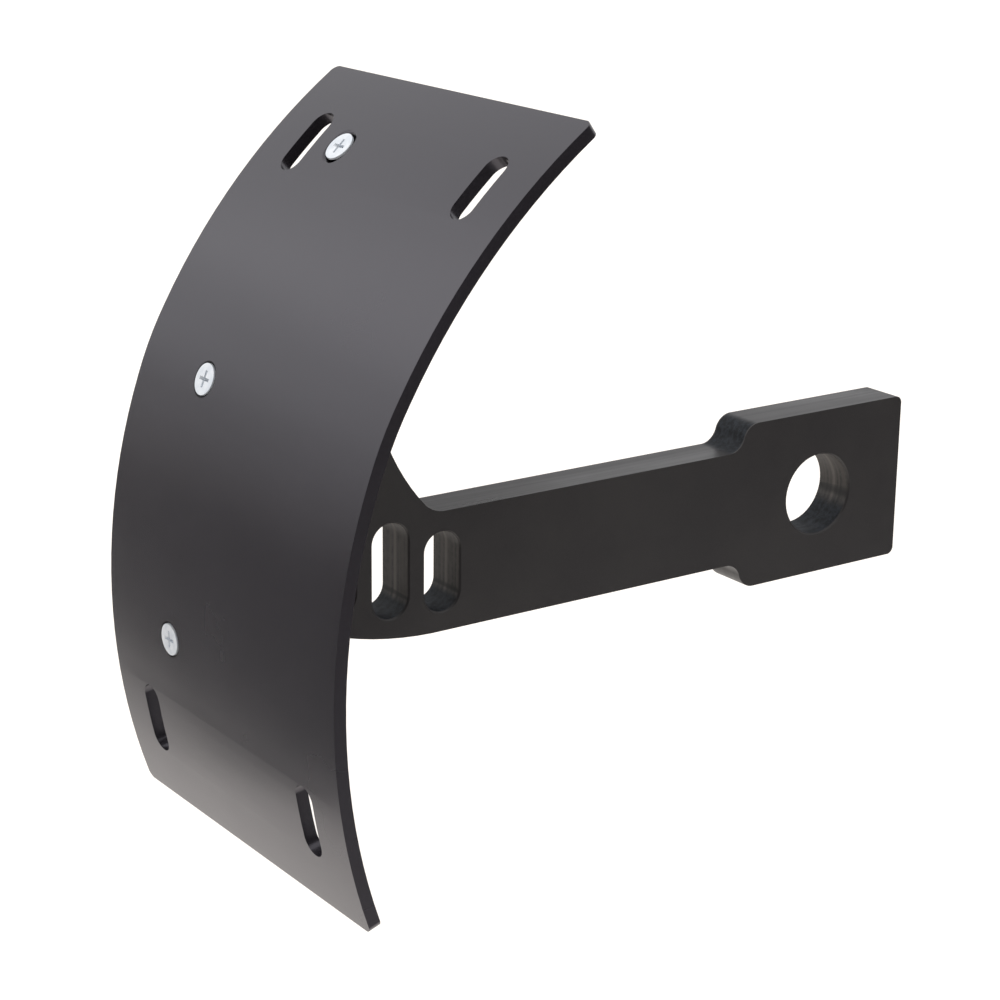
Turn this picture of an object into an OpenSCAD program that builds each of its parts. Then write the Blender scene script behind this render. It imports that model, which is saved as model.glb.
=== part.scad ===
// Side-mount number plate bracket for a motorcycle swingarm.
// A rolled sheet backing plate is held by three countersunk screws on the curved
// end of a flat milled arm, and the arm is clamped by the rear axle through its head.
//
// The origin is the centre of the axle bore, halfway through the arm. Y is the axle's
// axis, the arm runs along -X to the plate, and Z is up.
// Heights on the plate are developed lengths: they are measured along its front face,
// from the level of the axle.

/* [Backing plate] */
// Width of the plate, along the axle
plate_w = 101.4; // [92:0.1:130]
// Developed length of the plate
plate_len = 191.9; // [186:0.1:220]
// Thickness of the sheet
plate_t = 3; // [2.5:0.1:4]
// Radius of the plate's four corners
plate_corner_r = 2; // [1:0.5:10]
// From the plate's centre line to the arm's centre plane
arm_offset = 21.6; // [14:0.1:24]
// Developed length of the plate below the level of the axle
plate_drop = 51.7; // [48:0.1:60]

/* [Plate curve] */
// Front face radius of the lower stretch
lower_r = 150; // [130:1:200]
// Front face radius of the tight bend behind the middle screw
bend_r = 88; // [75:1:120]
// Front face radius of the upper stretch
upper_r = 160; // [145:1:200]
// Developed height where the tight bend starts
bend_rise = 55; // [48:0.5:60]
// Developed length of the tight bend
bend_len = 11.6; // [8:0.1:16]

/* [Number plate slots] */
// Length of each slot, along the curve
slot_len = 17.5; // [12:0.5:22]
// Width of each slot
slot_w = 7; // [5:0.5:8]
// Spacing of the slots along the curve
slot_pitch_len = 146.5; // [135:0.5:152]
// Spacing of the slots across the plate
slot_pitch_w = 70; // [64:0.5:78]

/* [Arm] */
// Thickness of the arm, along the axle
arm_t = 12; // [10:0.5:16]
// From the axle's centre to the back of the plate, at the level of the axle
arm_reach = 188.8; // [184:0.1:200]
// Depth of the straight bar
bar_h = 30.6; // [28:0.1:34]
// Height of the bar's and the head's centre line above the axle
arm_rise = 0.6; // [0:0.1:1.5]
// Radius of the belly, where the bar's lower edge curves up
belly_r = 95; // [85:1:120]
// From the axle's centre to the start of the belly
belly_start = 122; // [118:0.5:126]
// From the axle's centre to the end of the belly, where the foot starts
belly_end = 150; // [146:0.5:154]
// Radius of the hollow under the foot
foot_r = 60; // [55:1:75]

/* [Rib behind the plate] */
// Radius of the hollow edge that sweeps from the bar up behind the plate
flare_r = 59.4; // [58:0.1:61]
// From the axle's centre back to the centre of that radius
flare_back = 81.9; // [81:0.1:84]
// Height of the centre of that radius above the axle
flare_up = 58.2; // [56:0.1:60]
// Fillet between the bar's upper edge and the sweep
flare_fillet_r = 8; // [5:0.5:10]
// Developed length of the rib beyond the top screw
rib_over = 10; // [7:0.5:14]
// Radius of the free corner at the top of the rib
rib_corner_r = 4; // [2:0.5:6]

/* [Axle head] */
// Diameter of the axle bore
bore_d = 22; // [17:0.5:26]
// Height of the head
head_h = 45; // [42:0.5:52]
// From the axle's centre to the free end of the head
head_front = 28.7; // [24:0.1:34]
// From the axle's centre back to the shoulders
head_back = 21.8; // [20:0.1:26]
// Radius of both arcs in each shoulder
shoulder_r = 5; // [4:0.25:7]
// Radius of the head's two free corners
head_corner_r = 2; // [1:0.5:5]

/* [Lightening slots] */
// Number of slots through the arm
light_count = 3; // [1:1:3]
// Width of each slot
light_w = 10.1; // [8:0.1:11]
// Spacing of the slots
light_pitch = 14.8; // [13.5:0.1:16]
// From the axle's centre to the first slot
light_first = 120.9; // [119:0.1:123]
// Top of the first slot above the axle
light_top = 10.7; // [8:0.1:11]
// How much higher each slot reaches than the one before it
light_step = 4.6; // [3:0.1:5]
// Wall left under each slot
light_wall = 5; // [4:0.1:6]
// Chamfer on the rims of the slots and the bore
rim_chamfer = 0.4; // [0.2:0.1:0.8]

/* [Plate screws] */
// Developed spacing of the three screws
screw_pitch = 61.3; // [58:0.1:63]
// Developed depth of the lowest screw below the level of the axle
screw_drop = 4.3; // [2:0.1:5]
// Diameter of the screw's thread
screw_d = 4; // [3:0.5:4.5]
// Length of the screw with its head
screw_len = 12; // [10:0.5:14]
// Diameter of the screw's head
screw_head_d = 7.5; // [7:0.1:8]
// Height of the straight edge above the head's cone
screw_head_edge = 0.6; // [0.3:0.1:0.8]
// Diameter of the countersink at the plate's front face
sink_d = 8.4; // [7.9:0.1:9]
// Extra length of the top countersink, which is a short slot
sink_slot = 1.8; // [0.5:0.1:2]
// Span of the cross recess
recess_span = 4; // [3.6:0.1:5]
// Width of each wing of the cross recess
recess_wing = 0.7; // [0.6:0.1:1.2]
// Depth of the cross recess
recess_depth = 2; // [1.5:0.1:2.4]

/* [Fits] */
// Clearance between the arm's curved end and the plate
seat_clear = 0.05; // [0.02:0.01:0.2]
// Radial clearance of the screws in the plate
hole_clear = 0.25; // [0.1:0.05:0.4]
// Radial clearance of the screws in the arm's tapped holes
thread_clear = 0.05; // [0.02:0.01:0.1]

/* [Hidden] */
$fn = 180;

plate_color = "#58565b";
arm_color = "#353335";
screw_color = "#dfe4ea";

// How far cutting shapes run past the faces they cut
over = 1;
// Far enough to reach past any edge of the bracket
far = 400;
// Arcs that run on from one another are set this far across each other, so that they
// meet in a clean crossing
cross = 0.02;
// Distance that a tapped hole runs past the end of its screw, and its drill point
tap_over = 2;
tap_point = 1;

plate_top = plate_len - plate_drop;
plate_mid_y = -arm_offset;
plate_far_y = plate_mid_y + plate_w / 2;
plate_near_y = plate_mid_y - plate_w / 2;
plate_mid_s = (plate_top - plate_drop) / 2;

// Angles and centres of the plate's three arcs, seen along the axle. The lower arc's
// centre is level with the axle, and each next arc starts square to the last one's end
// radius, but for the bend's small step outward.
lower_a = 180 - length_angle(bend_rise, lower_r);
upper_a = lower_a - length_angle(bend_len, bend_r);
lower_c = [lower_r - arm_reach - plate_t, 0];
bend_root = lower_c + (lower_r - bend_r) * ray(lower_a);
bend_c = bend_root + cross * ray((lower_a + upper_a) / 2);
upper_c = bend_root + (bend_r - upper_r) * ray(upper_a);
// Angles by which sectors run past the places where they meet
lap_a = 8;
spread_a = 0.4;

bar_top = arm_rise + bar_h / 2;
bar_bottom = arm_rise - bar_h / 2;
head_top = arm_rise + head_h / 2;
head_rise = (head_h - bar_h) / 2;
// Length of a shoulder, from the bar's edge to the head's edge
shoulder_len = sqrt(4 * pow(shoulder_r, 2) - pow(head_rise - 2 * shoulder_r, 2));

belly_c = [-belly_start, bar_bottom + belly_r - cross];
belly_end_z = belly_z(-belly_end);
belly_end_dir = ([-belly_end, belly_end_z] - belly_c) / belly_r;
foot_c = [-belly_end, belly_end_z] + foot_r * belly_end_dir;

flare_c = [-flare_back, flare_up];
fillet_z = bar_top + flare_fillet_r;
fillet_x = flare_c[0] - sqrt(pow(flare_r - flare_fillet_r, 2) - pow(flare_up - fillet_z, 2));
fillet_c = [fillet_x, fillet_z];
fillet_end = flare_c + flare_r * (fillet_c - flare_c) / (flare_r - flare_fillet_r);

top_screw = 2 * screw_pitch - screw_drop;
screw_heights = [-screw_drop, screw_pitch - screw_drop, top_screw];
rib_top = top_screw + rib_over;

// The head's cone is as wide as the countersink at this depth under the front face
screw_seat = (sink_d - screw_head_d) / 2;
screw_proud = screw_head_edge - screw_seat;
head_cone_h = (screw_head_d - screw_d) / 2;

function length_angle(len, r) = len / r * 180 / PI;
function ray(a) = [cos(a), sin(a)];

// Height of the belly's edge at x
function belly_z(x) = belly_c[1] - sqrt(pow(belly_r, 2) - pow(x - belly_c[0], 2));
// Height of the bar's lower edge at x, belly included
function bottom_z(x) = x > -belly_start ? bar_bottom : belly_z(x);

// Direction of the plate's outward normal at developed height s
function face_angle(s) =
    s < bend_rise ? 180 - length_angle(s, lower_r)
    : s < bend_rise + bend_len ? lower_a - length_angle(s - bend_rise, bend_r)
    : upper_a - length_angle(s - bend_rise - bend_len, upper_r);

// Point at developed height s, at a depth behind the plate's front face
function face_point(s, depth) =
    let (a = face_angle(s))
    s < bend_rise ? lower_c + (lower_r - depth) * ray(a)
    : s < bend_rise + bend_len ? bend_c + (bend_r - depth) * ray(a)
    : upper_c + (upper_r - depth) * ray(a);

// Runs a side view profile along the axle, from y0 up to y1
module along_axle(y0, y1) {
    translate([0, y1, 0])
        rotate([90, 0, 0])
            linear_extrude(y1 - y0)
                children();
}

// Stands children on the plate's front face: local Z is the outward normal, and
// local X points up along the curve
module on_face(s, y) {
    p = face_point(s, 0);
    translate([p[0], y, p[1]])
        rotate([0, 90 - face_angle(s), 0])
            children();
}

module wedge(c, a0, a1) {
    polygon([c, c + far * ray(a0), c + far * ray(a1)]);
}

// Sector of a disc
module pie(c, r, a0, a1) {
    intersection() {
        translate(c) circle(r);
        wedge(c, a0, a1);
    }
}

// Everything inside the front face moved back by a depth, from y0 up to y1. The bend's
// disc stays inside the other two but near its ends, so its sector laps over theirs.
module inside_face(depth, y0, y1, past_end, spread) {
    low_end = face_angle(-plate_drop) + past_end;
    high_end = face_angle(plate_top) - past_end;
    along_axle(y0, y1) pie(lower_c, lower_r - depth, lower_a - spread, low_end);
    along_axle(y0, y1) pie(bend_c, bend_r - depth, upper_a - lap_a, lower_a + lap_a);
    along_axle(y0, y1) pie(upper_c, upper_r - depth, high_end, upper_a + spread);
}

module curved_sheet() {
    y0 = plate_near_y - over;
    y1 = plate_far_y + over;
    low_end = face_angle(-plate_drop);
    high_end = face_angle(plate_top);
    difference() {
        inside_face(0, plate_near_y, plate_far_y, lap_a, 0);
        inside_face(plate_t, y0, y1, 2 * lap_a, spread_a);
        along_axle(y0, y1) wedge(lower_c, low_end, low_end + 3 * lap_a);
        along_axle(y0, y1) wedge(upper_c, high_end - 3 * lap_a, high_end);
    }
}

// Stadium shaped cutter along local X, with its ends inside len
module slot_cut(len, w, z0, z1) {
    run = len - w;
    translate([0, 0, z0]) {
        for (x = [-run / 2, run / 2])
            translate([x, 0, 0]) cylinder(d = w, h = z1 - z0);
        if (run > 0)
            translate([-run / 2, -w / 2, 0]) cube([run, w, z1 - z0]);
    }
}

// What is cut off outside a rounded corner that points along local +X and +Y
module corner_cut(r, h) {
    difference() {
        translate([0, 0, -h / 2]) cube([r + over, r + over, h]);
        cylinder(r = r + cross, h = 3 * h, center = true);
    }
}

// Countersunk hole through the plate, stretched along the curve by run
module sink_hole(run) {
    hole_r = screw_d / 2 + hole_clear;
    sink_r = sink_d / 2 + over;
    sink_h = sink_r - hole_r;
    slot_cut(2 * hole_r + run, 2 * hole_r, -plate_t - over, over);
    translate([0, 0, over - sink_h]) {
        for (x = [-run / 2, run / 2])
            translate([x, 0, 0]) cylinder(r1 = hole_r, r2 = sink_r, h = sink_h);
        if (run > 0)
            translate([-run / 2, 0, 0])
                rotate([90, 0, 90])
                    linear_extrude(run)
                        polygon([[-hole_r, 0], [hole_r, 0], [sink_r, sink_h], [-sink_r, sink_h]]);
    }
}

module backing_plate() {
    color(plate_color)
        difference() {
            curved_sheet();
            for (up = [-1, 1], side = [-1, 1]) {
                s = up > 0 ? plate_top - plate_corner_r : plate_corner_r - plate_drop;
                y = plate_mid_y + side * (plate_w / 2 - plate_corner_r);
                on_face(s, y)
                    mirror([up > 0 ? 0 : 1, 0, 0])
                        mirror([0, side > 0 ? 0 : 1, 0])
                            corner_cut(plate_corner_r, 6 * plate_t);
            }
            for (up = [-0.5, 0.5], side = [-0.5, 0.5])
                on_face(plate_mid_s + up * slot_pitch_len, plate_mid_y + side * slot_pitch_w)
                    slot_cut(slot_len, slot_w, -plate_t - over, over);
            for (s = screw_heights)
                on_face(s, 0) sink_hole(s == top_screw ? sink_slot : 0);
        }
}

// Material under a shoulder's S curve: a hollow arc from the bar's edge, then a round one
module shoulder() {
    hollow_c = [-shoulder_len, shoulder_r];
    round_c = [0, head_rise - shoulder_r];
    difference() {
        translate([-shoulder_len, -over]) square([shoulder_len + over, head_rise + over]);
        translate(hollow_c) circle(shoulder_r + cross);
        difference() {
            polygon([hollow_c, round_c, [0, head_rise + over], [-shoulder_len, head_rise + over]]);
            translate(round_c) circle(shoulder_r + cross);
        }
    }
}

// Square end of the head with its two free corners rounded
module head_profile() {
    difference() {
        translate([-head_back, arm_rise - head_h / 2]) square([head_back + head_front, head_h]);
        for (side = [-1, 1])
            translate([head_front - head_corner_r, arm_rise + side * (head_h / 2 - head_corner_r)])
                mirror([0, side > 0 ? 0 : 1])
                    difference() {
                        square(head_corner_r + over);
                        circle(head_corner_r + cross);
                    }
    }
}

// Bar with the belly and the hollow foot cut from its lower edge
module bar_profile() {
    difference() {
        translate([-far / 2, bar_bottom]) square([far / 2 - head_back + over, bar_h]);
        difference() {
            translate([-belly_end, bar_bottom - over]) square([belly_end - belly_start, bar_h]);
            translate(belly_c) circle(belly_r);
        }
        translate(foot_c) circle(foot_r + cross);
    }
}

// Rib that carries the two upper screws, between the plate and the hollow sweep
module rib_profile() {
    end_out = face_point(rib_top, 0);
    end_in = face_point(rib_top, flare_r / 2);
    out = ray(face_angle(rib_top));
    up = [out[1], -out[0]];
    corner = rib_corner_point();
    past = 2 * rib_corner_r;
    difference() {
        polygon([[-far / 2, bar_top - over], [-far / 2, end_out[1]], end_out, end_in,
            [fillet_x, bar_top - over]]);
        translate(flare_c) circle(flare_r);
        // The free corner, rounded
        difference() {
            polygon([corner, corner + past * up, corner + past * (up - out), flare_c]);
            translate(corner) circle(rib_corner_r + cross);
        }
    }
}

// Fillet at the foot of the sweep
module flare_fillet() {
    difference() {
        polygon([[fillet_x, bar_top - over], fillet_c, fillet_end, fillet_end - [2 * over, 0],
            [fillet_end[0] - 2 * over, bar_top - over]]);
        translate(fillet_c) circle(flare_fillet_r + cross);
    }
}

// Centre of the rib's corner radius: inside the end by that radius, and clear of the
// sweep by the same
function rib_corner_point() =
    let (n = ray(face_angle(rib_top)),
         t = [n[1], -n[0]],
         p = face_point(rib_top, 0) - rib_corner_r * t,
         q = flare_c - p,
         along = -(q * n),
         off = norm(q + along * n))
    p - (along - sqrt(pow(flare_r + rib_corner_r, 2) - pow(off, 2))) * n;

// Keeps children's side view to the arm's thickness
module arm_slab() {
    along_axle(-arm_t / 2, arm_t / 2) children();
}

module arm_blank() {
    arm_slab() bar_profile();
    arm_slab() head_profile();
    arm_slab() translate([-head_back, bar_top]) shoulder();
    arm_slab() translate([-head_back, bar_bottom]) mirror([0, 1]) shoulder();
    arm_slab() flare_fillet();
    arm_slab() rib_profile();
}

// All that would stand in front of the arm's curved seat
module seat_cut() {
    side_y = arm_t / 2 + over;
    difference() {
        along_axle(-side_y, side_y)
            translate([-far, -far / 2]) square([far + bend_c[0], far]);
        inside_face(plate_t + seat_clear, -side_y - over, side_y + over, lap_a, 0);
    }
}

// Opening right through the arm, with chamfered rims, standing along local Z
module light_slot(x, z0, z1) {
    along = z1 - z0;
    half = arm_t / 2;
    translate([x, 0, (z0 + z1) / 2])
        rotate([90, 90, 0]) {
            slot_cut(along, light_w, -half - over, half + over);
            for (flip = [0, 1])
                mirror([0, 0, flip])
                    translate([0, 0, half - rim_chamfer])
                        slot_flare(along - light_w, light_w / 2);
        }
}

// Chamfer cutter around a slot's rim: it widens by as much as it rises
module slot_flare(run, r) {
    rise = rim_chamfer + over;
    for (x = [-run / 2, run / 2])
        translate([x, 0, 0]) cylinder(r1 = r, r2 = r + rise, h = rise);
    translate([-run / 2, 0, 0])
        rotate([90, 0, 90])
            linear_extrude(run)
                polygon([[-r, 0], [r, 0], [r + rise, rise], [-r - rise, rise]]);
}

module axle_bore() {
    half = arm_t / 2;
    rise = rim_chamfer + over;
    rotate([90, 0, 0]) {
        cylinder(d = bore_d, h = arm_t + 2 * over, center = true);
        for (flip = [0, 1])
            mirror([0, 0, flip])
                translate([0, 0, half - rim_chamfer])
                    cylinder(r1 = bore_d / 2, r2 = bore_d / 2 + rise, h = rise);
    }
}

// Tapped hole behind the plate, square to its face
module tapped_hole() {
    r = screw_d / 2 + thread_clear;
    depth = screw_len - screw_proud + tap_over;
    translate([0, 0, -depth]) {
        cylinder(r = r, h = depth);
        translate([0, 0, -tap_point]) cylinder(r1 = r - tap_point, r2 = r, h = tap_point);
    }
}

module axle_arm() {
    color(arm_color)
        difference() {
            arm_blank();
            seat_cut();
            axle_bore();
            for (i = [0 : light_count - 1]) {
                x = -light_first - i * light_pitch;
                light_slot(x, bottom_z(x) + light_wall, light_top + i * light_step);
            }
            for (s = screw_heights) on_face(s, 0) tapped_hole();
        }
}

// Countersunk screw with a cross recess, its head proud of the plate
module csk_screw() {
    cone_top = screw_proud - screw_head_edge;
    difference() {
        union() {
            translate([0, 0, cone_top]) cylinder(d = screw_head_d, h = screw_head_edge);
            translate([0, 0, cone_top - head_cone_h])
                cylinder(d1 = screw_d, d2 = screw_head_d, h = head_cone_h);
            translate([0, 0, screw_proud - screw_len])
                cylinder(d = screw_d, h = screw_len - screw_head_edge - head_cone_h);
        }
        cross_recess();
    }
}

// Four tapering wings around a pointed centre
module cross_recess() {
    rise = recess_depth + over;
    slope = (recess_span / 2 - recess_wing) / recess_depth;
    intersection() {
        translate([0, 0, screw_proud - recess_depth])
            cylinder(r1 = recess_wing, r2 = recess_wing + slope * rise, h = rise);
        for (turn = [0, 90])
            rotate([0, 0, turn])
                cube([2 * recess_span, recess_wing, 4 * screw_len], center = true);
    }
}

module plate_screws() {
    color(screw_color)
        for (s = screw_heights) on_face(s, 0) csk_screw();
}

backing_plate();
axle_arm();
plate_screws();
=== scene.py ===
"""Looks of the swingarm number plate bracket: finishes, soft edges, studio and camera.

The frame holds three nodes: the curved backing plate, the milled arm and its three
countersunk screws. They keep their CAD shapes. This script breaks their edges, gives
them procedural finishes with painted shade in some hollows and on the screws' rims, and
lights them softly over a pale floor.
"""

import math

import bpy
from mathutils import Matrix, Vector

MM = 0.001
# Edges that turn by more than these degrees are rounded. The plate's limit leaves the
# rims of its countersinks sharp.
EDGE_ANGLE = 30.0
SHEET_EDGE_ANGLE = 60.0
# Widths of the rounded edges
PLATE_EDGE = 1.2 * MM
ARM_EDGE = 0.35 * MM
SCREW_EDGE = 0.2 * MM
TRUE_NORMAL = "true_normal"

# Half the arm's thickness, the box round the openings of its three slots, and a radius
# just outside its bore
ARM_HALF = 6.0 * MM
SLOT_SPAN_X = (-157.0 * MM, -115.0 * MM)
SLOT_SPAN_Z = (-13.0 * MM, 15.2 * MM)
BORE_REACH = 11.2 * MM
# The S-shaped shoulder between the bar's top and the head's, which takes the painted shade of the
# up-facing cuts: fades in and out along X
SHOULDER_IN = (-32.5 * MM, -29.5 * MM)
SHOULDER_OUT = (-24.5 * MM, -21.5 * MM)
SHOULDER_Z = 15.6 * MM
# Middles of the screw heads on the plate's front, and the reach of the painted shade in its
# countersinks
SCREW_HEADS = (
    Vector((-191.6, 0.0, -4.3)) * MM,
    Vector((-181.0, 0.0, 55.6)) * MM,
    Vector((-145.3, 0.0, 104.9)) * MM,
)
SINK_SHADE_REACH = 4.25 * MM

# Camera, solved from the photograph: angles in degrees, lengths in metres
CAM_AZIMUTH = -35.06
CAM_ELEVATION = 17.30
CAM_ROLL = 0.664
CAM_DISTANCE = 0.62138
CAM_TARGET = Vector((-0.09994, 0.0, 0.01358))
CAM_LENS = 90.73
CAM_SENSOR = 36.0

# Pale floor below the part, and how much it is lifted to white where it is looked at
FLOOR_DROP = 0.355
FLOOR_SIZE = 30.0
FLOOR_LIFT = 0.32
# Dark flags stand in a ring round the set, out of the camera's sight, and are mirrored
# only. Each is grey up to a height and clear above the next, so the light comes from
# overhead and off the floor.
FLAG_CENTRE = (-0.10, 0.0)
FLAG_RADIUS = 0.52
FLAG_TOP = 0.44
# Each flag: first and last azimuth, counted from +X towards +Y, the heights of its fade,
# its greys, and the heights between which the first grey turns into the second. The
# gaps let the white surround in.
FLAGS = (
    (30, 50, (-0.02, 0.16), (0.21, 0.21), (-0.25, 0.05)),
    (50, 84, (0.05, 0.33), (0.21, 0.21), (-0.25, 0.05)),
    (118, 215, (-0.02, 0.17), (0.21, 0.21), (-0.25, 0.05)),
    (215, 306, (0.40, 0.44), (0.29, 0.04), (-0.25, 0.05)),
    (306, 345, (0.40, 0.44), (0.70, 0.13), (-0.26, -0.12)),
)
SKY_POWER = 1.0
# Softbox: azimuth from +X towards +Y and elevation, metres, watts
SOFTBOX_ANGLES = (121.0, 33.0)
SOFTBOX_TARGET = Vector((-0.19, 0.0, 0.09))
SOFTBOX_DISTANCE = 1.0
SOFTBOX_SIZE = 0.45
SOFTBOX_POWER = 0.30


def srgb(code):
    """Linear colour of a hex code, with alpha 1."""
    out = []
    for i in (1, 3, 5):
        v = int(code[i:i + 2], 16) / 255
        out.append(v / 12.92 if v <= 0.04045 else ((v + 0.055) / 1.055) ** 2.4)
    return (*out, 1.0)


class Nodes:
    """A material's node tree, with short calls for the nodes used here."""

    def __init__(self, name):
        self.material = bpy.data.materials.new(name)
        self.material.use_nodes = True
        self.tree = self.material.node_tree
        self.shader = self.tree.nodes["Principled BSDF"]
        self.coords = self.tree.nodes.new("ShaderNodeTexCoord").outputs["Object"]

    def link(self, a, b):
        self.tree.links.new(a, b)

    def put(self, socket, value):
        """Links an output to a socket, or sets a plain value on it."""
        if isinstance(value, bpy.types.NodeSocket):
            self.link(value, socket)
        else:
            socket.default_value = value

    def mapped(self, scale=(1, 1, 1), rotation=(0, 0, 0)):
        n = self.tree.nodes.new("ShaderNodeMapping")
        n.inputs["Scale"].default_value = scale
        n.inputs["Rotation"].default_value = rotation
        self.link(self.coords, n.inputs["Vector"])
        return n.outputs["Vector"]

    def noise(self, scale, detail=3.0, roughness=0.5, vector=None, distortion=0.0):
        n = self.tree.nodes.new("ShaderNodeTexNoise")
        n.inputs["Scale"].default_value = scale
        n.inputs["Detail"].default_value = detail
        n.inputs["Roughness"].default_value = roughness
        n.inputs["Distortion"].default_value = distortion
        self.link(vector or self.coords, n.inputs["Vector"])
        return n.outputs["Fac"]

    def remap(self, value, low, high, out_low, out_high):
        n = self.tree.nodes.new("ShaderNodeMapRange")
        n.interpolation_type = "SMOOTHSTEP"
        self.put(n.inputs["Value"], value)
        n.inputs["From Min"].default_value = low
        n.inputs["From Max"].default_value = high
        n.inputs["To Min"].default_value = out_low
        n.inputs["To Max"].default_value = out_high
        return n.outputs["Result"]

    def math(self, operation, a, b):
        n = self.tree.nodes.new("ShaderNodeMath")
        n.operation = operation
        self.put(n.inputs[0], a)
        self.put(n.inputs[1], b)
        return n.outputs[0]

    def mix(self, factor, a, b):
        n = self.tree.nodes.new("ShaderNodeMix")
        n.data_type = "RGBA"
        self.put(n.inputs[0], factor)
        self.put(n.inputs[6], a)
        self.put(n.inputs[7], b)
        return n.outputs[2]

    def ramp(self, value, stops):
        """Colour ramp from (place, hex colour) stops."""
        n = self.tree.nodes.new("ShaderNodeValToRGB")
        self.put(n.inputs["Fac"], value)
        ends = n.color_ramp.elements
        while len(ends) < len(stops):
            ends.new(0.5)
        for end, (place, colour) in zip(ends, stops):
            end.position = place
            end.color = srgb(colour)
        return n.outputs["Color"]

    def position(self):
        """Separate X, Y and Z of the object coordinates, which are the frame's."""
        n = self.tree.nodes.new("ShaderNodeSeparateXYZ")
        self.link(self.coords, n.inputs[0])
        return n.outputs

    def near(self, places, reach):
        """1 within a reach of any of the places, falling to 0 just outside it."""
        nearest = None
        for place in places:
            n = self.tree.nodes.new("ShaderNodeVectorMath")
            n.operation = "DISTANCE"
            self.link(self.coords, n.inputs[0])
            n.inputs[1].default_value = place
            away = n.outputs["Value"]
            nearest = away if nearest is None else self.math("MINIMUM", nearest, away)
        return self.remap(nearest, reach, reach + 0.1 * MM, 1.0, 0.0)

    def upward(self):
        """Z of the surface's own normal: 1 facing up, 0 upright, -1 facing down."""
        place = self.tree.nodes.new("ShaderNodeNewGeometry")
        n = self.tree.nodes.new("ShaderNodeSeparateXYZ")
        self.link(place.outputs["Normal"], n.inputs[0])
        return n.outputs["Z"]

    def bump(self, height, strength, distance, normal=None):
        n = self.tree.nodes.new("ShaderNodeBump")
        n.inputs["Strength"].default_value = strength
        n.inputs["Distance"].default_value = distance
        self.link(height, n.inputs["Height"])
        if normal is not None:
            self.link(normal, n.inputs["Normal"])
        return n.outputs["Normal"]

    def within(self, value, low, high):
        """1 between low and high, falling to 0 over half a millimetre outside them."""
        rise = self.remap(value, low - 0.5 * MM, low, 0.0, 1.0)
        return self.math("MULTIPLY", rise, self.remap(value, high, high + 0.5 * MM, 1.0, 0.0))


def plate_finish():
    """Satin dark anodised sheet, smooth, with painted shade in the countersinks round its screws.
    """
    m = Nodes("plate_anodised")
    cloud = m.noise(18.0, detail=4.0, roughness=0.6)
    grain = m.noise(1100.0, detail=2.0)
    waves = m.noise(55.0, detail=1.0)
    tone = m.mix(m.remap(cloud, 0.3, 0.7, 0.0, 1.0), srgb("#1c191d"), srgb("#201d22"))
    tone = m.mix(m.remap(grain, 0.2, 0.8, 0.0, 0.15), tone, srgb("#29272b"))
    # Painted shade: the countersinks round the screw heads are painted near black
    sink_shade = m.near(SCREW_HEADS, SINK_SHADE_REACH)
    tone = m.mix(sink_shade, tone, srgb("#060607"))
    m.put(m.shader.inputs["Base Color"], tone)
    m.put(m.shader.inputs["Roughness"], m.remap(cloud, 0.3, 0.7, 0.245, 0.28))
    m.shader.inputs["IOR"].default_value = 1.72
    m.shader.inputs["Specular Tint"].default_value = (0.95, 0.91, 1.0, 1)
    # Painted shade: the countersinks also reflect less
    painted_shade_dull = m.math("MULTIPLY", sink_shade, 0.42)
    m.put(m.shader.inputs["Specular IOR Level"], m.math("SUBTRACT", 0.5, painted_shade_dull))
    m.put(m.shader.inputs["Normal"], m.bump(waves, 0.02, 0.00002))
    return m.material


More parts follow.
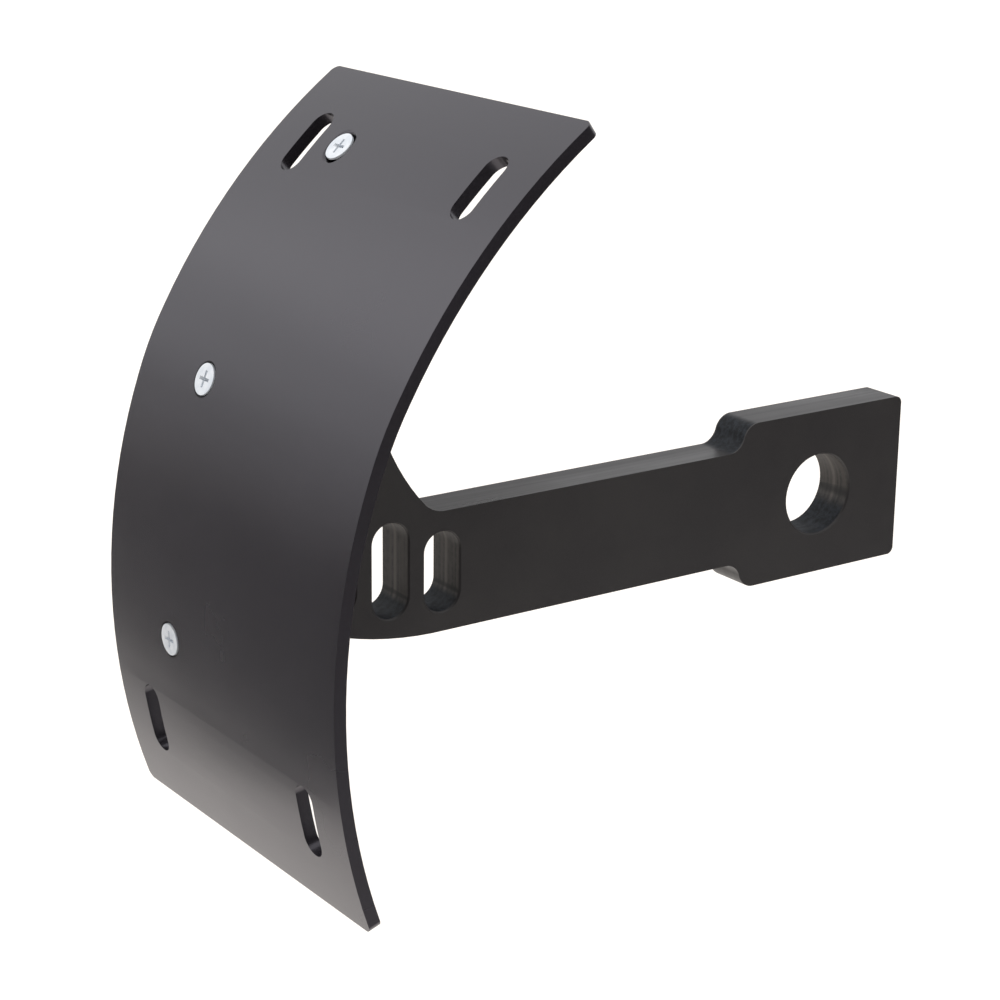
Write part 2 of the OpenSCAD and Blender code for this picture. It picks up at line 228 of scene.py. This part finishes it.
def arm_finish():
    """Black anodised billet. Its cut walls carry cutter lines, and inside its openings the
    cut is rough, with a witness line halfway where the two passes met. Up-facing cuts and
    the shoulder carry painted shade, parted from the walls by a painted dark crease line."""
    m = Nodes("arm_anodised")
    x, y, z = m.position()
    cloud = m.noise(40.0, detail=4.0, roughness=0.55)
    grain = m.noise(3200.0, detail=2.0)
    # Cutter lines run along the arm's sides at a constant Y, so they vary across Y only
    lines = m.noise(900.0, detail=2.0, vector=m.mapped(scale=(0.02, 1.0, 0.02)))
    # How far inside the thickness a point is: 0 on the two faces and 1 past their rims
    depth = m.math("ABSOLUTE", y, 0.0)
    inside = m.remap(depth, ARM_HALF - 0.25 * MM, ARM_HALF - 0.6 * MM, 0.0, 1.0)
    slots = m.within(x, *SLOT_SPAN_X)
    slots = m.math("MULTIPLY", slots, m.within(z, *SLOT_SPAN_Z))
    radius = m.math("SQRT", m.math("ADD", m.math("MULTIPLY", x, x), m.math("MULTIPLY", z, z)), 0.0)
    bore = m.remap(radius, BORE_REACH, BORE_REACH + 0.5 * MM, 1.0, 0.0)
    shoulder = m.remap(x, *SHOULDER_IN, 0.0, 1.0)
    shoulder = m.math("MULTIPLY", shoulder, m.remap(x, *SHOULDER_OUT, 1.0, 0.0))
    shoulder = m.math("MULTIPLY", shoulder, m.math("GREATER_THAN", z, SHOULDER_Z))
    opened = m.math("MAXIMUM", slots, bore)
    cut = m.math("MULTIPLY", inside, m.math("MAXIMUM", opened, shoulder))
    # Painted shade: cuts that face up, and the shoulder, are painted darker and bluer than the
    # walls, with a painted dark crease line between them
    up = m.upward()
    up_shade = m.remap(up, 0.25, 0.6, 0.0, 1.0)
    up_shade = m.math("MAXIMUM", up_shade, shoulder)
    turn = m.math("MULTIPLY", m.remap(up, 0.05, 0.15, 0.0, 1.0), m.remap(up, 0.2, 0.35, 1.0, 0.0))
    mottle = m.noise(700.0, detail=4.0, roughness=0.65)
    witness = m.remap(depth, 0.1 * MM, 0.9 * MM, 1.0, 0.0)
    tone = m.mix(m.remap(cloud, 0.3, 0.7, 0.0, 1.0), srgb("#292728"), srgb("#2e2c2c"))
    tone = m.mix(m.remap(grain, 0.2, 0.8, 0.0, 0.4), tone, srgb("#363435"))
    blotch = m.remap(mottle, 0.35, 0.65, 0.0, 1.0)
    wall_tone_and_crease_shade = m.mix(blotch, srgb("#2c2a29"), srgb("#413e3c"))
    wall_tone_and_crease_shade = m.mix(m.remap(lines, 0.35, 0.65, 0.0, 0.8), wall_tone_and_crease_shade, srgb("#544f4b"))
    wall_tone_and_crease_shade = m.mix(m.math("MULTIPLY", witness, 0.5), wall_tone_and_crease_shade, srgb("#7a736d"))
    # Painted shade: a dark line where the straight wall turns into the up-facing cut
    wall_tone_and_crease_shade = m.mix(m.math("MULTIPLY", turn, 0.7), wall_tone_and_crease_shade, srgb("#17181a"))
    # Painted shade: dark bluish tone for the cuts that face up
    shaded_bed = m.mix(blotch, srgb("#15181c"), srgb("#292d33"))
    cut_tone_and_shade = m.mix(up_shade, wall_tone_and_crease_shade, shaded_bed)
    m.put(m.shader.inputs["Base Color"], m.mix(cut, tone, cut_tone_and_shade))
    rough = m.remap(cloud, 0.3, 0.7, 0.30, 0.36)
    rough = m.math("ADD", rough, m.remap(lines, 0.3, 0.7, -0.04, 0.04))
    m.put(m.shader.inputs["Roughness"], m.math("ADD", rough, m.math("MULTIPLY", cut, 0.22)))
    m.shader.inputs["IOR"].default_value = 1.43
    m.shader.inputs["Specular Tint"].default_value = (1.0, 0.975, 0.955, 1)
    # Painted shade: up-facing cuts also reflect less
    painted_shade_dull = m.math("MULTIPLY", m.math("MULTIPLY", cut, up_shade), 0.25)
    m.put(m.shader.inputs["Specular IOR Level"], m.math("SUBTRACT", 0.5, painted_shade_dull))
    soft = m.bump(grain, 0.05, 0.00003)
    lined = m.bump(lines, 0.20, 0.00006, soft)
    rough_cut = m.math("MULTIPLY", mottle, cut)
    m.put(m.shader.inputs["Normal"], m.bump(rough_cut, 0.35, 0.0001, lined))
    return m.material


def screw_finish():
    """Bright zinc plating, slightly bluish."""
    m = Nodes("screw_zinc")
    cloud = m.noise(500.0, detail=3.0)
    grain = m.noise(5000.0, detail=2.0)
    m.put(m.shader.inputs["Base Color"],
          m.mix(m.remap(cloud, 0.3, 0.7, 0.0, 1.0), srgb("#e6ebf1"), srgb("#f6f9fc")))
    m.put(m.shader.inputs["Roughness"], m.remap(cloud, 0.3, 0.7, 0.30, 0.38))
    m.shader.inputs["Metallic"].default_value = 0.4
    m.put(m.shader.inputs["Normal"], m.bump(grain, 0.08, 0.00002))
    return m.material


def screw_edge_shade():
    """The same plating, painted darker on the rims and recess edges as painted shade."""
    m = Nodes("screw_zinc_edge_shade")
    cloud = m.noise(900.0, detail=3.0)
    # Painted shade: a darker grey than the faces' plating
    m.put(m.shader.inputs["Base Color"],
          m.mix(m.remap(cloud, 0.3, 0.7, 0.0, 1.0), srgb("#6d727b"), srgb("#858b94")))
    m.put(m.shader.inputs["Roughness"], m.remap(cloud, 0.3, 0.7, 0.42, 0.52))
    m.shader.inputs["Metallic"].default_value = 0.4
    return m.material


class MeshNodes:
    """A geometry node tree from the mesh to the changed mesh."""

    def __init__(self, name):
        self.tree = bpy.data.node_groups.new(name, "GeometryNodeTree")
        self.tree.interface.new_socket("Mesh", in_out="INPUT", socket_type="NodeSocketGeometry")
        self.tree.interface.new_socket("Mesh", in_out="OUTPUT", socket_type="NodeSocketGeometry")
        self.mesh = self.add("NodeGroupInput").outputs[0]

    def add(self, kind, **settings):
        n = self.tree.nodes.new(kind)
        for name, value in settings.items():
            setattr(n, name, value)
        return n

    def link(self, a, b):
        self.tree.links.new(a, b)

    def close(self, mesh):
        self.link(mesh, self.add("NodeGroupOutput").inputs[0])
        return self.tree


def keep_normals_tree():
    """Stores the faces' true normals, before the mesh is joined and its edges broken."""
    g = MeshNodes("keep_true_normals")
    store = g.add("GeometryNodeStoreNamedAttribute", data_type="FLOAT_VECTOR", domain="CORNER")
    store.inputs["Name"].default_value = TRUE_NORMAL
    g.link(g.mesh, store.inputs["Geometry"])
    g.link(g.add("GeometryNodeInputNormal").outputs["Normal"], store.inputs["Value"])
    return g.close(store.outputs["Geometry"])


def round_normals_tree():
    """Gives faces their true normals back, and lets the edge strips turn between them.

    The strips carry the second material slot. Each of their corners takes the mean true
    normal of the faces that it touches.
    """
    g = MeshNodes("round_edge_normals")
    true = g.add("GeometryNodeInputNamedAttribute", data_type="FLOAT_VECTOR")
    true.inputs["Name"].default_value = TRUE_NORMAL
    slot = g.add("GeometryNodeInputMaterialIndex")
    strip = g.add("FunctionNodeCompare", data_type="INT", operation="EQUAL")
    strip_a, strip_b = [i for i in strip.inputs if i.type == "INT"]
    g.link(slot.outputs[0], strip_a)
    strip_b.default_value = 1
    blank = g.add("GeometryNodeSwitch", input_type="VECTOR")
    g.link(strip.outputs[0], blank.inputs["Switch"])
    g.link(true.outputs[0], blank.inputs["False"])
    blank.inputs["True"].default_value = (0, 0, 0)
    on_corner = g.add("GeometryNodeFieldOnDomain", data_type="FLOAT_VECTOR", domain="CORNER")
    g.link(blank.outputs[0], on_corner.inputs[0])
    on_point = g.add("GeometryNodeFieldOnDomain", data_type="FLOAT_VECTOR", domain="POINT")
    g.link(on_corner.outputs[0], on_point.inputs[0])
    turned = g.add("GeometryNodeSwitch", input_type="VECTOR")
    g.link(strip.outputs[0], turned.inputs["Switch"])
    g.link(true.outputs[0], turned.inputs["False"])
    g.link(on_point.outputs[0], turned.inputs["True"])
    unit = g.add("ShaderNodeVectorMath", operation="NORMALIZE")
    g.link(turned.outputs[0], unit.inputs[0])
    smooth = g.add("GeometryNodeSetShadeSmooth")
    g.link(g.mesh, smooth.inputs[0])
    put = g.add("GeometryNodeSetMeshNormal", mode="FREE", domain="CORNER")
    g.link(smooth.outputs[0], put.inputs["Mesh"])
    g.link(unit.outputs[0], put.inputs["Custom Normal"])
    return g.close(put.outputs["Mesh"])


def finish_node(node, materials, width, angle):
    """Gives a CAD node its finishes, faces first and edges second, and rounds its edges."""
    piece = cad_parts[node]
    piece.data.materials.clear()
    for material in materials:
        piece.data.materials.append(material)
    keep = piece.modifiers.new("true_normals", "NODES")
    keep.node_group = keep_tree
    weld = piece.modifiers.new("join_faces", "WELD")
    weld.merge_threshold = 0.000002
    bevel = piece.modifiers.new("round_edges", "BEVEL")
    bevel.width = width
    bevel.segments = 1
    bevel.limit_method = "ANGLE"
    bevel.angle_limit = math.radians(angle)
    bevel.loop_slide = False
    bevel.material = 1
    turn = piece.modifiers.new("edge_normals", "NODES")
    turn.node_group = round_tree


def make_camera():
    a, e, r = (math.radians(v) for v in (CAM_AZIMUTH, CAM_ELEVATION, CAM_ROLL))
    back = Vector((math.sin(a) * math.cos(e), -math.cos(a) * math.cos(e), math.sin(e)))
    right = Vector((math.cos(a), math.sin(a), 0.0))
    up = back.cross(right)
    x = right * math.cos(r) + up * math.sin(r)
    y = up * math.cos(r) - right * math.sin(r)
    data = bpy.data.cameras.new("camera")
    data.sensor_width = CAM_SENSOR
    data.lens = CAM_LENS
    data.clip_start = 0.01
    data.clip_end = 100.0
    cam = bpy.data.objects.new("camera", data)
    bpy.context.collection.objects.link(cam)
    place = Matrix((x, y, back)).transposed().to_4x4()
    place.translation = CAM_TARGET + back * CAM_DISTANCE
    cam.matrix_world = place
    bpy.context.scene.camera = cam


def make_softbox():
    """Weak square softbox behind and above the part, which brightens the plate's top."""
    a, e = (math.radians(v) for v in SOFTBOX_ANGLES)
    out = Vector((math.cos(a) * math.cos(e), math.sin(a) * math.cos(e), math.sin(e)))
    data = bpy.data.lights.new("softbox", "AREA")
    data.shape = "SQUARE"
    data.size = SOFTBOX_SIZE
    data.energy = SOFTBOX_POWER
    lamp = bpy.data.objects.new("softbox", data)
    bpy.context.collection.objects.link(lamp)
    lamp.location = SOFTBOX_TARGET + out * SOFTBOX_DISTANCE
    lamp.rotation_mode = "QUATERNION"
    lamp.rotation_quaternion = (-out).to_track_quat("-Z", "Y")
    lamp.visible_camera = False


def stage_material(name):
    """Empty material with its tree, and a factor that is 1 where it is looked at."""
    material = bpy.data.materials.new(name)
    material.use_nodes = True
    tree = material.node_tree
    path = tree.nodes.new("ShaderNodeLightPath")
    seen = path.outputs["Is Camera Ray"]
    for ray in ("Is Glossy Ray", "Is Transmission Ray"):
        either = tree.nodes.new("ShaderNodeMath")
        either.operation = "MAXIMUM"
        tree.links.new(seen, either.inputs[0])
        tree.links.new(path.outputs[ray], either.inputs[1])
        seen = either.outputs[0]
    return material, tree, seen


def make_floor():
    """Pale floor. Looked at, it is lifted to white, and it keeps the part's shadow."""
    bpy.ops.mesh.primitive_plane_add(size=FLOOR_SIZE, location=(0, 0, -FLOOR_DROP))
    floor = bpy.context.object
    floor.name = "floor"
    material, tree, seen = stage_material("floor_pale")
    paint = tree.nodes["Principled BSDF"]
    paint.inputs["Base Color"].default_value = (0.9, 0.86, 0.81, 1)
    paint.inputs["Roughness"].default_value = 0.9
    paint.inputs["Emission Color"].default_value = (1, 0.94, 0.88, 1)
    lift = tree.nodes.new("ShaderNodeMath")
    lift.operation = "MULTIPLY"
    lift.inputs[1].default_value = FLOOR_LIFT
    tree.links.new(seen, lift.inputs[0])
    tree.links.new(lift.outputs[0], paint.inputs["Emission Strength"])
    floor.data.materials.append(material)


def flag_material(name, fade_span, greys, grey_span):
    """Matt grey cloth that is clear above its fade."""
    material = bpy.data.materials.new(name)
    material.use_nodes = True
    tree = material.node_tree
    cloth = tree.nodes["Principled BSDF"]
    cloth.inputs["Roughness"].default_value = 1.0
    clear = tree.nodes.new("ShaderNodeBsdfTransparent")
    place = tree.nodes.new("ShaderNodeNewGeometry")
    axes = tree.nodes.new("ShaderNodeSeparateXYZ")
    tree.links.new(place.outputs["Position"], axes.inputs[0])
    shade = tree.nodes.new("ShaderNodeMapRange")
    shade.inputs["From Min"].default_value, shade.inputs["From Max"].default_value = grey_span
    shade.inputs["To Min"].default_value, shade.inputs["To Max"].default_value = greys
    tree.links.new(axes.outputs["Z"], shade.inputs["Value"])
    tree.links.new(shade.outputs[0], cloth.inputs["Base Color"])
    fade = tree.nodes.new("ShaderNodeMapRange")
    fade.inputs["From Min"].default_value, fade.inputs["From Max"].default_value = fade_span
    tree.links.new(axes.outputs["Z"], fade.inputs["Value"])
    pick = tree.nodes.new("ShaderNodeMixShader")
    tree.links.new(fade.outputs[0], pick.inputs[0])
    tree.links.new(cloth.outputs[0], pick.inputs[1])
    tree.links.new(clear.outputs[0], pick.inputs[2])
    tree.links.new(pick.outputs[0], tree.nodes["Material Output"].inputs["Surface"])
    return material


def make_flags():
    """Dark flags that give the satin faces their shading. Only glossy rays see them."""
    for number, (first, last, *look) in enumerate(FLAGS, start=1):
        name = f"flag_{number}"
        points, faces = [], []
        for azimuth in range(first, last + 1):
            a = math.radians(azimuth)
            if azimuth > first:
                n = len(points)
                faces.append((n - 2, n, n + 1, n - 1))
            x = FLAG_CENTRE[0] + FLAG_RADIUS * math.cos(a)
            y = FLAG_CENTRE[1] + FLAG_RADIUS * math.sin(a)
            for z in (-FLOOR_DROP, FLAG_TOP):
                points.append((x, y, z))
        mesh = bpy.data.meshes.new(name)
        mesh.from_pydata(points, [], faces)
        mesh.materials.append(flag_material(name, *look))
        flag = bpy.data.objects.new(name, mesh)
        bpy.context.collection.objects.link(flag)
        flag.visible_camera = False
        flag.visible_diffuse = False
        flag.visible_shadow = False


def make_sky():
    """Plain white surround."""
    world = bpy.data.worlds.new("studio")
    bpy.context.scene.world = world
    world.use_nodes = True
    world.node_tree.nodes["Background"].inputs["Color"].default_value = (0.98, 0.985, 1.0, 1)
    world.node_tree.nodes["Background"].inputs["Strength"].default_value = SKY_POWER


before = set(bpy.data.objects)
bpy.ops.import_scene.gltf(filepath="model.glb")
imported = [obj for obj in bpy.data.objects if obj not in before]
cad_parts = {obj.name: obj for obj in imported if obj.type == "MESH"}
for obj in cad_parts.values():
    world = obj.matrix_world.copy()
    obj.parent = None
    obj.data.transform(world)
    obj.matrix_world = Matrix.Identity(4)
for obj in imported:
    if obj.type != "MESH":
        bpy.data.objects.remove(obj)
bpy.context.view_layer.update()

keep_tree = keep_normals_tree()
round_tree = round_normals_tree()
anodised_plate = plate_finish()
anodised_arm = arm_finish()
finish_node("backing_plate", (anodised_plate, anodised_plate), PLATE_EDGE, SHEET_EDGE_ANGLE)
finish_node("axle_arm", (anodised_arm, anodised_arm), ARM_EDGE, EDGE_ANGLE)
finish_node("plate_screws", (screw_finish(), screw_edge_shade()), SCREW_EDGE, EDGE_ANGLE)
make_floor()
make_flags()
make_sky()
make_softbox()
make_camera()
bpy.context.scene.view_settings.view_transform = "Standard"
